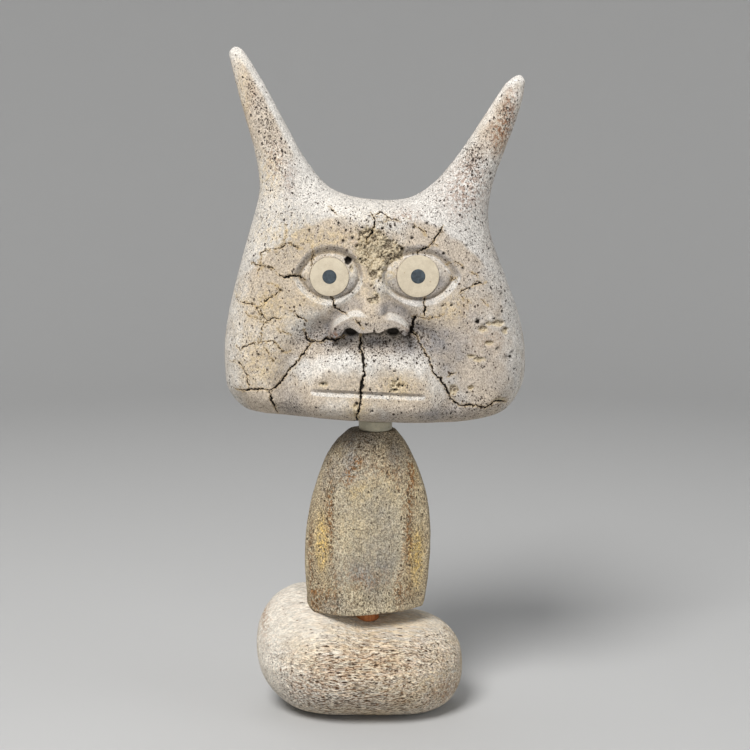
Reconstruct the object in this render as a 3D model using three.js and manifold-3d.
// Spirit figure carved from weathered whale bone: a horned head on an ivory collar, a bullet-shaped
// body and a pebble-shaped base joined by a wooden dowel. The eyes are ivory discs with dark pupils.
// Millimetres, +Z up. The face looks along -Y. The origin is on the underside, below the middle.
import * as THREE from "three";
import { mergeVertices } from "three/addons/utils/BufferGeometryUtils.js";
import Module from "manifold-3d";

const wasm = await Module();
wasm.setup();

// Driving dimensions
const headUnderside = 151.5; // height of the head's own origin above the table
const bodyBottom = 55;
const bodyTop = 148;
const seatGap = 0.3; // clearance where two pieces touch

// Outline of the head, as points [x, z] above headUnderside
const chin = [
  [-71.2, 12], [-66.2, 8.7], [-57, 6.4], [-43.5, 4.9], [-20, 3.1], [7, 1.8], [28, 1.2], [44, 1.8],
  [56, 3.9], [65.4, 7.4], [71, 12.2],
];
const leftSide = [
  [-71.2, 12], [-74.8, 19], [-76, 31], [-75.7, 44], [-73.8, 58], [-69.8, 74], [-64.6, 92],
  [-60.2, 106], [-58.5, 113],
];
const rightSide = [
  [71, 12.2], [74.9, 21.5], [76.1, 32.5], [75.3, 44], [72.3, 57], [66.6, 73], [60.6, 88.5],
  [57.4, 99], [56.6, 107], [57.4, 115],
];
const saddle = [
  [-29.2, 126], [-22.4, 119.6], [-14, 115.9], [-3, 113.9], [8, 113.4], [17, 114.7], [24.5, 118.3],
  [31.4, 124],
];
const hornLeft = {
  outer: [[-58.5, 113], [-57.5, 121], [-59.1, 134], [-62.9, 150], [-67.7, 167], [-71.4, 182]],
  inner: [[-29.2, 126], [-36.3, 136.5], [-44.3, 151], [-52.8, 167], [-61.6, 182]],
  tip: [[-71.4, 182], [-71.8, 185.7], [-69.2, 188.5], [-65.6, 187.3], [-61.6, 182]],
};
const hornRight = {
  outer: [[57.4, 115], [59.7, 124.5], [64.3, 137.5], [69.4, 151.5], [72.9, 163.5], [73.7, 169]],
  inner: [[31.4, 124], [40.9, 135.4], [51.6, 151], [61.8, 166.5], [64.7, 170.6]],
  tip: [[73.7, 169], [73.7, 172.3], [71.7, 174.6], [68.6, 173.8], [64.7, 170.6]],
};

// Thickness of the head
const head = {
  front: 26, // half thickness in front of the middle plane
  back: 22,
  sideRound: 17, // width of the rounded edge at each side
  chinRound: 12,
  saddleRound: 9,
  hornRound: 20, // width of the rounded edge where the saddle runs into the horns
  hornDepth: 0.62, // half depth of a horn as a share of its width
  crease: 0.3, // how sharply the top bevel meets the face
  creaseFrom: 48, // head width over which the crease comes in
  creaseTo: 72,
};

// Carving of the face, with z above headUnderside
const eyes = [
  { side: "left", x: -22.2, z: 77.6, across: 14.2, up: 10.9, outer: -1,
    disc: { x: -22.2, z: 77.2, radius: 9.5 }, pupil: 3.5 },
  { side: "right", x: 21.6, z: 77.2, across: 16.6, up: 11.1, outer: 1,
    disc: { x: 21, z: 77.4, radius: 10.3 }, pupil: 3.6 },
];
const eyeCut = {
  depth: 2.6,
  wall: { above: 4.1, below: 3, outer: 3.6, inner: 2 }, // width of the sloping wall round each eye
  point: 0.55, // how pointed the outer corner is
  dome: 1.7,
  discDepth: 4,
  discProud: 0.2,
  pupilDepth: 1.6,
};
const nose = {
  x: -2,
  halfWidth: 19.8,
  reach: 8.5,
  top: 62.2,
  topFall: 8.6, // how far its upper edge falls from the middle to the wing tips
  crest: 57, // height of its most forward line, and how far that falls
  crestFall: 5.6,
  underside: 50.4,
  nostrilRise: 2.2,
  wingFall: 3,
  tuck: 0.28, // share of its reach lost from crest to underside
  bridgeTop: 68,
  bridgeWidth: 5,
};
const nostril = { apart: 9.6, across: 3.8, up: 2.4, deep: 2.4, z: 52.2, forward: 2.4 };
const muzzle = { x: -1.5, z: 15, across: 38, up: 28, reach: 5, square: 2.6 };
const mouth = { left: [-32.4, 21], right: [26, 18.4], radius: 1.6, lift: 0.3, runOut: 1.1 };
const hollows = [
  { x: -27, z: 49.5, wide: 13, high: 9, depth: 4.2 }, // cheeks beside the nose
  { x: 23.5, z: 50.5, wide: 13, high: 9.5, depth: 4.2 },
  { x: -2, z: 45.5, wide: 22, high: 4, depth: 2.8 }, // lip under the nose
  { x: 0, z: 90, wide: 11, high: 8, depth: 1.2 }, // worn brow
  { x: -14, z: 63, wide: 5, high: 5, depth: 1.6 }, // either side of the bridge
  { x: 10, z: 63, wide: 5, high: 5, depth: 1.6 },
];
const carvedHalfWidth = 70; // beyond this the face has no carving
const carvingFade = 20;

// Collar, dowel, body and base
const collar = { x: 0.2, radius: 8.6, height: 5.6, lower: 8, chamfer: 0.8 };
const dowel = { x: -4.7, radius: 6.6, bottom: 30, top: 76 };
const body = {
  left: [[55, -34.6], [66, -35.8], [78, -36.5], [90, -36.2], [103, -34.7], [115, -32], [126, -28.5],
    [135, -24.5], [142, -19.8], [148, -13.8]],
  right: [[55, 25.6], [66, 27.4], [78, 28.4], [90, 28.8], [103, 28.2], [115, 26.2], [126, 22.8],
    [135, 19], [142, 15.2], [148, 10.8]],
  widest: 32.2, // half width where the body is widest
  front: 19.6, // depth in front of the middle plane, and behind it
  back: 23.5,
  plateau: 1.25, // the front stays flat until the body has narrowed by this much
  square: 2.5, // how square the back of its cross-section is
  // Front of the cross-section as shares of half width and front depth, up to its crease
  frontCurve: [[-1, 0], [-0.985, 0.3], [-0.9, 0.6], [-0.7, 0.83], [-0.4, 0.985], [-0.1, 0.985],
    [0.2, 0.88], [0.45, 0.76], [0.66, 0.63]],
  sideFacet: [[0.82, 0.46], [0.97, 0.28], [1, 0]],
  cut: 0.04, // slope of its cut underside, rising to the back and to the right
  cutAcross: 0.012,
  edge: 0.97, // share of the width left at the broken edges of its two ends
};
const base = {
  centre: [-8.5, 28],
  depth: 36.5,
  shift: -1.67, // of its middle towards the front
  lean: 0.42, // how far its upper half is sheared to the back
  outline: [[45.6, 25], [44, 34.5], [38, 41.6], [28, 46.6], [12, 48.6], [-6, 50], [-20, 55.8], [-32, 60.8],
    [-42.5, 61.2], [-53.6, 56], [-60.4, 45.8], [-62, 33.4], [-59.6, 21.4], [-53.2, 10.6], [-43, 2.4],
    [-28, -1.2], [-8, -1.6], [12, -1.6], [28, -0.4], [39, 5], [44.4, 14]],
};

const materials = {
  bone: { color: 0xcdbda3, roughness: 0.8 },
  bodyBone: { color: 0xa8967b, roughness: 0.85 },
  paleBone: { color: 0xd8cbb5, roughness: 0.8 },
  ivory: { color: 0xd9ccaa, roughness: 0.35 },
  dark: { color: 0x1f242b, roughness: 0.3 },
  wood: { color: 0xa8562a, roughness: 0.55 },
};

// Numbers and curves

const clamp01 = (t) => Math.min(Math.max(t, 0), 1);
const ease = (t) => clamp01(t) ** 2 * (3 - 2 * clamp01(t));
const mix = (a, b, t) => a + (b - a) * t;
const bell = (x, width) => Math.exp(-((x / width) ** 2));

// A smooth curve through [x, z] points, read by its share of the length
function curveThrough(points) {
  const curve = new THREE.CatmullRomCurve3(
    points.map(([x, z]) => new THREE.Vector3(x, 0, z)), false, "centripetal",
  );
  curve.arcLengthDivisions = 400;
  return (t) => {
    const p = curve.getPointAt(clamp01(t));
    return [p.x, p.z];
  };
}

// A stretch of a curve, which may run backwards
const stretch = (curve, from, to) => (t) => curve(mix(from, to, t));

// One polyline along several curves, for measuring distances to an edge
function polylineOf(...curves) {
  const steps = 60;
  return curves.flatMap((curve) => Array.from({ length: steps + 1 }, (_, i) => curve(i / steps)));
}

function distanceTo(line, x, z) {
  let best = Infinity;
  for (let i = 1; i < line.length; i++) {
    const [ax, az] = line[i - 1];
    const dx = line[i][0] - ax;
    const dz = line[i][1] - az;
    const length2 = dx * dx + dz * dz || 1;
    const t = clamp01(((x - ax) * dx + (z - az) * dz) / length2);
    best = Math.min(best, Math.hypot(x - ax - t * dx, z - az - t * dz));
  }
  return best;
}

// A value read between [z, value] stations on a smooth curve
function readStations(stations) {
  const curve = new THREE.CatmullRomCurve3(
    stations.map(([z, value]) => new THREE.Vector3(value, 0, z)), false, "centripetal",
  );
  const samples = curve.getPoints(200);
  return (z) => {
    let i = samples.findIndex((p) => p.z >= z);
    if (i < 0) i = samples.length - 1;
    if (i === 0) return samples[0].x;
    const [a, b] = [samples[i - 1], samples[i]];
    return mix(a.x, b.x, (z - a.z) / (b.z - a.z || 1));
  };
}

// Shares from 0 to 1, closer together over a rounded edge at each end
function edgeSpacing(count, steps, low, high, crowding = () => 1) {
  const roundShare = (i) => 1 - Math.cos((i / steps) * (Math.PI / 2));
  const middle = count - 2 * steps;
  const sums = [0];
  for (let i = 0; i < middle; i++) {
    const at = mix(low, 1 - high, (i + 0.5) / middle);
    sums.push(sums[i] + 1 / crowding(at));
  }
  return [
    ...Array.from({ length: steps }, (_, i) => low * roundShare(i)),
    ...sums.map((sum) => mix(low, 1 - high, sum / sums[middle])),
    ...Array.from({ length: steps }, (_, i) => 1 - high * roundShare(steps - 1 - i)),
  ];
}

// Solids

function geometryOf(vertices, triangles) {
  const geometry = new THREE.BufferGeometry();
  geometry.setAttribute("position", new THREE.Float32BufferAttribute(vertices.flat(), 3));
  geometry.setIndex(triangles.flat());
  return geometry;
}

function solidOf(geometry) {
  const bare = geometry.clone();
  bare.deleteAttribute("normal");
  bare.deleteAttribute("uv");
  const merged = mergeVertices(bare, 1e-4);
  return new wasm.Manifold(new wasm.Mesh({
    numProp: 3,
    vertProperties: merged.attributes.position.array,
    triVerts: new Uint32Array(merged.index.array),
  }));
}

function meshOf(name, solid, material) {
  const { numProp, vertProperties, triVerts } = solid.getMesh();
  const positions = [];
  for (let i = 0; i < vertProperties.length; i += numProp) {
    positions.push(...vertProperties.subarray(i, i + 3));
  }
  const geometry = new THREE.BufferGeometry();
  geometry.setAttribute("position", new THREE.Float32BufferAttribute(positions, 3));
  geometry.setIndex(new THREE.BufferAttribute(triVerts, 1));
  geometry.computeVertexNormals();
  const mesh = new THREE.Mesh(geometry, new THREE.MeshStandardMaterial(material));
  mesh.name = name;
  return mesh;
}

// A closed solid of rings, each an equal number of [x, y, z] points, ended by flat fans
function loft(rings) {
  const sides = rings[0].length;
  const vertices = rings.flat();
  const triangles = [];
  for (let k = 0; k + 1 < rings.length; k++) {
    for (let i = 0; i < sides; i++) {
      const [a, b] = [k * sides + i, k * sides + ((i + 1) % sides)];
      triangles.push([a, b, b + sides], [a, b + sides, a + sides]);
    }
  }
  const last = (rings.length - 1) * sides;
  const middle = (ring) => [0, 1, 2].map((n) => ring.reduce((sum, p) => sum + p[n], 0) / sides);
  const first = vertices.push(middle(rings[0])) - 1;
  const end = vertices.push(middle(rings.at(-1))) - 1;
  for (let i = 0; i < sides; i++) {
    const j = (i + 1) % sides;
    triangles.push([first, j, i], [end, last + i, last + j]);
  }
  const solid = solidOf(geometryOf(vertices, triangles));
  if (solid.volume() > 0) return solid;
  return solidOf(geometryOf(vertices, triangles.map(([a, b, c]) => [a, c, b])));
}

const roundSides = 28;

// A cylinder standing on Z, and one lying along Y
function upright(x, radius, bottom, top) {
  const cylinder = new THREE.CylinderGeometry(radius, radius, top - bottom, roundSides);
  return solidOf(cylinder.rotateX(Math.PI / 2).translate(x, 0, (bottom + top) / 2));
}

function plug(x, z, radius, from, to) {
  const cylinder = new THREE.CylinderGeometry(radius, radius, to - from, roundSides);
  return solidOf(cylinder.translate(x, (from + to) / 2, z));
}

// A round piece turned about Y, from a profile of [radius, y]
function turned(profile) {
  const points = profile.map(([radius, y]) => new THREE.Vector2(radius, y));
  const solid = solidOf(new THREE.LatheGeometry(points, roundSides));
  return solid.volume() > 0 ? solid : solidOf(new THREE.LatheGeometry(points.reverse(), roundSides));
}

// Head: how thick it is at each place

const edge = {
  chin: curveThrough(chin),
  left: curveThrough(leftSide),
  right: curveThrough(rightSide),
  saddle: curveThrough(saddle),
};
const horns = [hornLeft, hornRight].map((horn) => ({
  outer: curveThrough(horn.outer),
  inner: curveThrough(horn.inner),
  tip: curveThrough(horn.tip),
}));
const outlines = {
  left: polylineOf(edge.left, horns[0].outer, stretch(horns[0].tip, 0, 0.5)),
  right: polylineOf(edge.right, horns[1].outer, stretch(horns[1].tip, 0, 0.5)),
  chin: polylineOf(edge.chin),
  top: polylineOf(
    stretch(horns[0].tip, 0.5, 1), stretch(horns[0].inner, 1, 0), edge.saddle,
    horns[1].inner, stretch(horns[1].tip, 1, 0.5),
  ),
};

// Rises from 0 at the outline to 1 at the end of a rounded edge
function roundEdge(distance, width) {
  return Math.sqrt(1 - (1 - clamp01(distance / width)) ** 2);
}

function headThickness(x, z, most) {
  const left = distanceTo(outlines.left, x, z);
  const right = distanceTo(outlines.right, x, z);
  const top = distanceTo(outlines.top, x, z);
  const low = distanceTo(outlines.chin, x, z);
  const width = Math.min(left, right) + top; // a horn's own width, where there is one
  const thickness = (most ** -4 + (head.hornDepth * width + 1e-6) ** -4) ** -0.25;
  const sideRound = Math.min(head.sideRound, width);
  const topRound = Math.min(mix(head.saddleRound, head.hornRound, ease((Math.abs(x) - 10) / 28)), width);
  const crease = head.crease * ease((width - head.creaseFrom) / (head.creaseTo - head.creaseFrom));
  const topEdge = mix(roundEdge(top, topRound), clamp01(top / topRound), crease);
  const sideEdges = roundEdge(left, sideRound) * roundEdge(right, sideRound);
  return thickness * sideEdges * topEdge * roundEdge(low, head.chinRound);
}

// Face: what stands out of its plane or sinks below it

// Upper edge, most forward line and lower edge of the nose, by the share of its half width
const noseTop = (share) => nose.top + 0.8 * bell(share - 0.36, 0.2) - nose.topFall * share ** 1.9;
const noseCrest = (share) => nose.crest - nose.crestFall * share ** 2.6;
const noseBottom = (share) => nose.underside + nose.nostrilRise * bell(share - 0.49, 0.18)
  - nose.wingFall * ease((share - 0.62) / 0.32);

function noseRelief(x, z) {
  const share = Math.min(Math.abs(x - nose.x) / nose.halfWidth, 1);
  const [top, crest, bottom] = [noseTop(share), noseCrest(share), noseBottom(share)];
  const reach = nose.reach * (1 - 0.45 * share ** 2) * Math.sqrt(1 - share ** 4);
  if (z > crest) return reach * Math.sin((clamp01((top - z) / (top - crest)) * Math.PI) / 2);
  return reach * (1 - nose.tuck * clamp01((crest - z) / (crest - bottom)) ** 1.5);
}

function bridgeRelief(x, z) {
  const along = clamp01((z - nose.crest) / (nose.bridgeTop - nose.crest));
  const ends = ease((nose.bridgeTop + 5 - z) / 9) * ease((z - nose.underside) / 6);
  return bell(x - nose.x, nose.bridgeWidth) * mix(nose.reach * 0.8, 1.2, along) * ends;
}

function muzzleRelief(x, z) {
  const across = Math.abs(x - muzzle.x) / muzzle.across;
  const up = Math.abs(z - muzzle.z) / muzzle.up;
  const out = (across ** muzzle.square + up ** muzzle.square) ** (1 / muzzle.square);
  return muzzle.reach * ease((1.08 - out) / 0.42);
}

function faceDepth(x, z) {
  const sunk = hollows
    .map((h) => h.depth * bell(x - h.x, h.wide) * bell(z - h.z, h.high))
    .reduce((sum, depth) => sum + depth);
  const carved = ease((carvedHalfWidth - Math.abs(x)) / carvingFade);
  const inside = ease(headThickness(x, z, 1) * 1.1);
  const relief = carved * (muzzleRelief(x, z) + bridgeRelief(x, z) - sunk);
  return -headThickness(x, z, head.front) - inside * relief;
}

// Head: its solid

const grid = { columns: 40, rows: 34, hornColumns: 10, hornRows: 12, edgeSteps: 5 };
const edgeShares = { sides: 0.115, chin: 0.11, top: 0.09 }; // of the grid, given to the rounded edges

// A point between the four edges of a patch, worked out from the points on those edges and its corners
function between({ low, high, left, right, corners }, u, v) {
  return [0, 1].map((k) => {
    const edges = mix(low[k], high[k], v) + mix(left[k], right[k], u);
    const flat = mix(mix(corners[0][k], corners[1][k], u), mix(corners[2][k], corners[3][k], u), v);
    return edges - flat;
  });
}

const wave = (i) => (1 - Math.cos((Math.PI * i) / grid.hornColumns)) / 2;

// The line between the face and the horns: straight under each horn, the saddle between them
function topLine(column) {
  const { columns, hornColumns } = grid;
  const end = columns - hornColumns;
  const straight = (p, q, t) => [mix(p[0], q[0], t), mix(p[1], q[1], t)];
  if (column <= hornColumns) return straight(edge.left(1), edge.saddle(0), wave(column));
  if (column >= end) return straight(edge.saddle(1), edge.right(1), wave(column - end));
  return edge.saddle((column - hornColumns) / (end - hornColumns));
}

function facePoints() {
  const { columns, rows, edgeSteps } = grid;
  const across = edgeSpacing(columns, edgeSteps, edgeShares.sides, edgeShares.sides);
  const eyeLine = (v) => 1 + 1.1 * bell(v - 0.47, 0.09);
  const up = edgeSpacing(rows, edgeSteps, edgeShares.chin, edgeShares.top, eyeLine);
  const corners = [edge.chin(0), edge.chin(1), edge.left(1), edge.right(1)];
  return up.flatMap((v) => across.map((u, i) => between({
    low: edge.chin(u), high: topLine(i), left: edge.left(v), right: edge.right(v), corners,
  }, u, v)));
}

function hornPoints(horn, isRight) {
  const { columns, hornColumns, hornRows } = grid;
  const start = isRight ? columns - hornColumns : 0;
  const [left, right] = isRight ? [horn.inner, horn.outer] : [horn.outer, horn.inner];
  const tip = isRight ? stretch(horn.tip, 1, 0) : horn.tip;
  const corners = [topLine(start), topLine(start + hornColumns), tip(0), tip(1)];
  const points = [];
  for (let k = 1; k <= hornRows; k++) {
    const v = 1 - (1 - k / hornRows) ** 1.25;
    for (let i = 0; i <= hornColumns; i++) {
      const [low, high] = [topLine(start + i), tip(i / hornColumns)];
      points.push(between({ low, high, left: left(v), right: right(v), corners }, wave(i), v));
    }
  }
  return points;
}

// The face and the two horns as blocks of one grid: which point each cell corner is, and which are rim
function headBlocks(facePointCount, hornPointCount) {
  const { columns, rows, hornColumns, hornRows } = grid;
  const faceIndex = (i, j) => j * (columns + 1) + i;
  const openTop = (i) => i >= hornColumns && i <= columns - hornColumns;
  const face = {
    index: faceIndex, across: columns, up: rows,
    isRim: (i, j) => i === 0 || i === columns || j === 0 || (j === rows && openTop(i)),
  };
  const hornBlocks = [0, 1].map((side) => ({
    index: (i, k) => (k === 0
      ? faceIndex(i + side * (columns - hornColumns), rows)
      : facePointCount + side * hornPointCount + (k - 1) * (hornColumns + 1) + i),
    across: hornColumns, up: hornRows,
    isRim: (i, k) => i === 0 || i === hornColumns || k === hornRows,
  }));
  return [face, ...hornBlocks];
}

// The front sheet uses every point, the back sheet every second one, and both share the outline
function headSolid() {
  const face = facePoints();
  const [hornA, hornB] = horns.map((horn, side) => hornPoints(horn, side === 1));
  const flat = [...face, ...hornA, ...hornB];
  const blocks = headBlocks(face.length, hornA.length);
  const rim = new Set();
  for (const { index, across, up, isRim } of blocks) {
    for (let j = 0; j <= up; j++) {
      for (let i = 0; i <= across; i++) if (isRim(i, j)) rim.add(index(i, j));
    }
  }
  const vertices = flat.map(([x, z], n) => [x, rim.has(n) ? 0 : faceDepth(x, z), z]);
  const backOf = new Map();
  const back = (n) => {
    if (rim.has(n)) return n;
    if (!backOf.has(n)) {
      const [x, z] = flat[n];
      backOf.set(n, vertices.push([x, headThickness(x, z, head.back), z]) - 1);
    }
    return backOf.get(n);
  };
  const triangles = [];
  const ringOfCell = [[0, 0], [0, 1], [0, 2], [1, 2], [2, 2], [2, 1], [2, 0], [1, 0]];
  for (const { index, across, up } of blocks) {
    for (let j = 0; j < up; j++) {
      for (let i = 0; i < across; i++) {
        const [a, b, c, d] = [index(i, j), index(i + 1, j), index(i + 1, j + 1), index(i, j + 1)];
        triangles.push([a, b, c], [a, c, d]);
      }
    }
    for (let j = 0; j < up; j += 2) {
      for (let i = 0; i < across; i += 2) {
        const ring = ringOfCell.map(([di, dj]) => (
          { n: index(i + di, j + dj), corner: (di + dj) % 2 === 0 }
        ));
        const kept = ring.filter(({ n, corner }, k) => corner
          || [n, ring[(k + 1) % 8].n, ring[(k + 7) % 8].n].every((m) => rim.has(m)));
        const cell = kept.map(({ n }) => back(n));
        for (let k = 1; k + 1 < cell.length; k++) triangles.push([cell[0], cell[k], cell[k + 1]]);
      }
    }
  }
  return solidOf(geometryOf(vertices, triangles));
}

// The nose on a closer grid than the head's, with an underside of its own, rooted in the head
function noseSolid() {
  const [columns, rows] = [24, 10];
  const rootDepth = -12;
  const sunkBy = 0.4; // its upper edge lies this far below the face
  const rings = [];
  for (let i = 0; i <= columns; i++) {
    const share = mix(-Math.cos((Math.PI * i) / columns), 2 * (i / columns) - 1, 0.6);
    const x = nose.x + share * nose.halfWidth;
    const [top, bottom] = [noseTop(Math.abs(share)), noseBottom(Math.abs(share))];
    const ring = [[x, rootDepth, top], [x, rootDepth, bottom]];
    for (let j = 0; j <= rows; j++) {
      const z = mix(bottom, top, j / rows);
      const bridge = bridgeRelief(x, z);
      ring.push([x, faceDepth(x, z) + bridge - Math.max(noseRelief(x, z), bridge) + sunkBy, z]);
    }
    rings.push(ring);
  }
  return loft(rings);
}

function nostrilCutter(side) {
  const x = nose.x + side * nostril.apart;
  const y = faceDepth(x, nostril.z) + bridgeRelief(x, nostril.z) - nostril.forward;
  const ball = new THREE.SphereGeometry(1, 12, 6).scale(nostril.across, nostril.deep, nostril.up);
  return solidOf(ball.translate(x, y, nostril.z));
}

// The straight mouth line, a round-bottomed groove that runs out at its ends
function mouthCutter() {
  const [steps, sides] = [12, 8];
  return loft(Array.from({ length: steps + 1 }, (_, i) => {
    const t = i / steps;
    const [x, z] = [0, 1].map((k) => mix(mouth.left[k], mouth.right[k], t));
    const y = faceDepth(x, z) - mouth.lift - mouth.runOut * (2 * t - 1) ** 10;
    return Array.from({ length: sides }, (__, k) => {
      const angle = (2 * Math.PI * k) / sides;
      return [x, y + mouth.radius * Math.cos(angle), z + mouth.radius * Math.sin(angle)];
    });
  }));
}

// Eyes: an almond hollow with a domed eyeball in it, bored for the ivory disc

// An almond outline, grown by a share of the wall round it. Its outer corner is pointed.
function almondRing(eye, grow, y, share = 1) {
  const { above, below, outer, inner } = eyeCut.wall;
  const sides = 28;
  return Array.from({ length: sides }, (_, i) => {
    const angle = (2 * Math.PI * i) / sides;
    const [c, s] = [Math.cos(angle), Math.sin(angle)];
    const wide = eye.across + grow * (c * eye.outer > 0 ? outer : inner);
    const high = eye.up + grow * (s > 0 ? above : below);
    const pointed = Math.abs(s) ** (eyeCut.point * ease(c * eye.outer));
    return [eye.x + share * wide * c, y, eye.z + share * high * s * pointed];
  });
}

function carveEye(solid, eye) {
  const surface = faceDepth(eye.x, eye.z);
  const floor = surface + eyeCut.depth;
  const beyond = 3; // how far the cutter reaches out of the face
  const hollow = loft([
    almondRing(eye, 1 + beyond / eyeCut.depth, surface - beyond),
    almondRing(eye, 0.1, floor),
  ]);
  // Share of the outline, and how much of the dome's rise is reached there
  const domeSteps = [[0.95, 0.55], [0.86, 0.8], [0.7, 0.94], [0.45, 1]];
  const ball = loft([
    almondRing(eye, 0, floor + beyond),
    almondRing(eye, 0, floor),
    ...domeSteps.map(([share, rise]) => almondRing(eye, 0, floor - eyeCut.dome * rise, share)),
  ]);
  const bed = floor - eyeCut.dome + eyeCut.discDepth + seatGap;
  const bore = plug(eye.disc.x, eye.disc.z, eye.disc.radius + seatGap, surface - beyond, bed);
  return solid.subtract(hollow).add(ball).subtract(bore);
}

function eyeInlays(eye) {
  const crown = faceDepth(eye.x, eye.z) + eyeCut.depth - eyeCut.dome;
  const front = crown - eyeCut.discProud;
  const back = crown + eyeCut.discDepth;
  const well = front + eyeCut.pupilDepth;
  const { radius } = eye.disc;
  const wellRadius = eye.pupil + seatGap;
  const disc = turned([
    [0, back], [radius, back], [radius, front + 0.5], [radius - 0.6, front + 0.1],
    [wellRadius, front], [wellRadius, well], [0, well],
  ]);
  const pupilBack = well - seatGap;
  const pupil = turned([
    [0, pupilBack], [eye.pupil, pupilBack], [eye.pupil, front + 0.1], [0, front - 0.1],
  ]);
  const inlays = [
    meshOf("eye_" + eye.side, disc, materials.ivory),
    meshOf("pupil_" + eye.side, pupil, materials.dark),
  ];
  for (const inlay of inlays) inlay.position.set(eye.disc.x, 0, eye.disc.z);
  return inlays;
}

// Body and base

function bodySection() {
  const frontSteps = 13;
  const backSteps = 12;
  const front = new THREE.SplineCurve(body.frontCurve.map(([u, v]) => new THREE.Vector2(u, v)));
  const points = front.getSpacedPoints(frontSteps).map((p) => [p.x, -body.front * p.y]);
  points.push(...body.sideFacet.map(([u, v]) => [u, -body.front * v]));
  for (let i = 1; i < backSteps; i++) {
    const angle = (Math.PI * i) / backSteps;
    const [c, s] = [Math.cos(angle), Math.sin(angle)];
    const power = 2 / body.square;
    points.push([Math.sign(c) * Math.abs(c) ** power, body.back * s ** power]);
  }
  return points;
}

function bodySolid() {
  const [leftAt, rightAt] = [readStations(body.left), readStations(body.right)];
  const section = bodySection();
  const heights = [0, 0.015, 0.12, 0.25, 0.38, 0.5, 0.6, 0.7, 0.78, 0.85, 0.91, 0.95, 0.985, 1];
  return loft(heights.map((t) => {
    const z = mix(bodyBottom, bodyTop, t);
    const atEnd = t === 0 || t === 1 ? body.edge : 1;
    const halfWidth = (rightAt(z) - leftAt(z)) / 2;
    const middle = (rightAt(z) + leftAt(z)) / 2;
    const depth = Math.min(1, (body.plateau * halfWidth) / body.widest) * atEnd;
    return section.map(([u, y]) => {
      const x = middle + u * halfWidth * atEnd;
      const slope = body.cutAcross * x + body.cut * (y * depth + body.front);
      return [x, y * depth, z + slope * ease(1 - 3 * t)];
    });
  }));
}

function baseSolid() {
  const [cx, cz] = base.centre;
  const curve = new THREE.CatmullRomCurve3(
    base.outline.map(([x, z]) => new THREE.Vector3(x, 0, z)), true, "centripetal",
  );
  const sides = 36;
  const turns = 15;
  const outline = curve.getSpacedPoints(sides).slice(0, sides);
  const rings = [];
  for (let k = 1; k < turns; k++) {
    const angle = (Math.PI * k) / turns;
    const share = Math.sin(angle);
    rings.push(outline.map((p) => {
      const rise = share * (p.z - cz);
      const y = base.shift - base.depth * Math.cos(angle) + base.lean * Math.max(rise, 0);
      return [cx + share * (p.x - cx), y, Math.max(cz + rise, 0)];
    }));
  }
  return loft(rings);
}

// The whole figure

const collarBottom = bodyTop + seatGap;
const collarTop = collarBottom + collar.height;

function makeHead() {
  let shape = headSolid().add(noseSolid()).subtract(mouthCutter());
  for (const side of [-1, 1]) shape = shape.subtract(nostrilCutter(side));
  for (const eye of eyes) shape = carveEye(shape, eye);
  const seatTop = collarTop + seatGap - headUnderside;
  shape = shape.subtract(upright(collar.x, collar.radius + seatGap, -seatTop, seatTop));
  const group = new THREE.Group();
  group.position.z = headUnderside;
  group.add(meshOf("head", shape, materials.bone), ...eyes.flatMap(eyeInlays));
  return group;
}

function makeCollar() {
  const profile = [
    [0, 0], [collar.lower, 0], [collar.radius, collar.chamfer], [collar.radius, collar.height],
    [0, collar.height],
  ];
  const mesh = meshOf("neck_collar", turned(profile), materials.ivory);
  mesh.rotation.x = Math.PI / 2;
  mesh.position.set(collar.x, 0, collarBottom);
  return mesh;
}

// The body's lower left corner is let into the base, and the dowel runs in both
function makeLowerPieces() {
  const bodyShape = bodySolid();
  const dowelHole = upright(dowel.x, dowel.radius + seatGap, dowel.bottom - seatGap, dowel.top + seatGap);
  let baseShape = baseSolid().subtract(dowelHole);
  for (const [dx, dy] of [[0, 0], [-1, -1], [-1, 1], [1, -1], [1, 1]]) {
    baseShape = baseShape.subtract(bodyShape.translate(dx * seatGap, dy * seatGap, -seatGap));
  }
  return [
    meshOf("body", bodyShape.subtract(dowelHole), materials.bodyBone),
    meshOf("base", baseShape, materials.paleBone),
    meshOf("dowel", upright(dowel.x, dowel.radius, dowel.bottom, dowel.top), materials.wood),
  ];
}

const sculpture = new THREE.Group();
sculpture.add(makeHead(), makeCollar(), ...makeLowerPieces());

export default sculpture;
